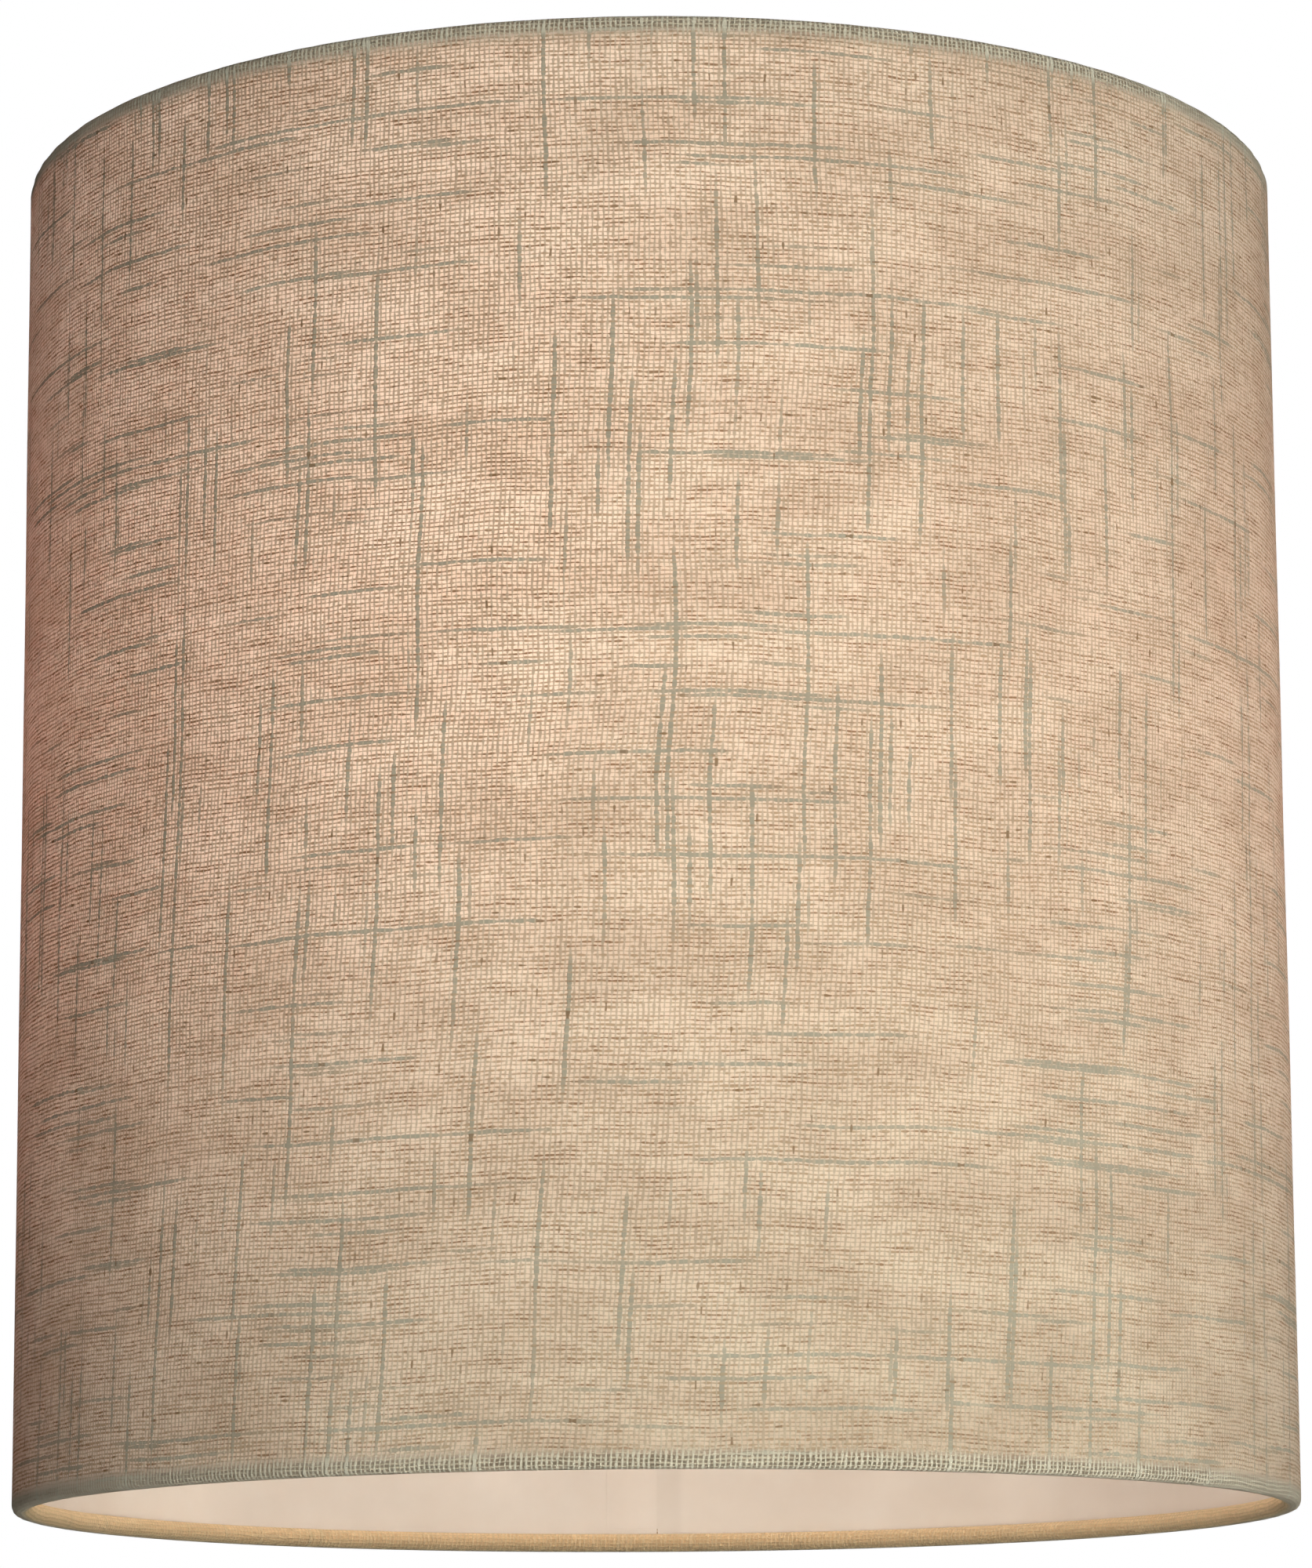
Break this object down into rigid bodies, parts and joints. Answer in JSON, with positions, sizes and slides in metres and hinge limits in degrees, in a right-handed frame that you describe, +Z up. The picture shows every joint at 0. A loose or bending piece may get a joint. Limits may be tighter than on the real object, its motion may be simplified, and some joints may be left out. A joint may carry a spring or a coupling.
{
  "type": "lamp shade",
  "caption": "Straight drum lamp shade in slubby natural linen over a stiff white liner, with rolled edges on wire rings and a recessed spider fitter.",
  "frame": {"origin": "centre of the bottom rim's plane, on the shade's axis", "axes": "+Z up along the axis, from the open bottom rim to the rim that holds the fitter; the seam is at +Y and the front at -Y"},
  "size_m": [0.3, 0.3008, 0.317],
  "materials": {
    "linen": "open plain weave of unbleached linen with slubs, matt, lets light through",
    "styrene": "white styrene sheet, satin, lets light through",
    "tape": "clear double-sided tape",
    "steel": "white enamel over steel wire and pressed sheet"
  },
  "bodies": {
    "root": {"fabric_cover": "linen", "liner_panel": "styrene", "seam_tape": "tape", "top_ring": "steel", "bottom_ring": "steel", "spider_arm_1": "steel", "spider_arm_2": "steel", "spider_arm_3": "steel", "spider_hub": "steel"}
  },
  "joints": []
}
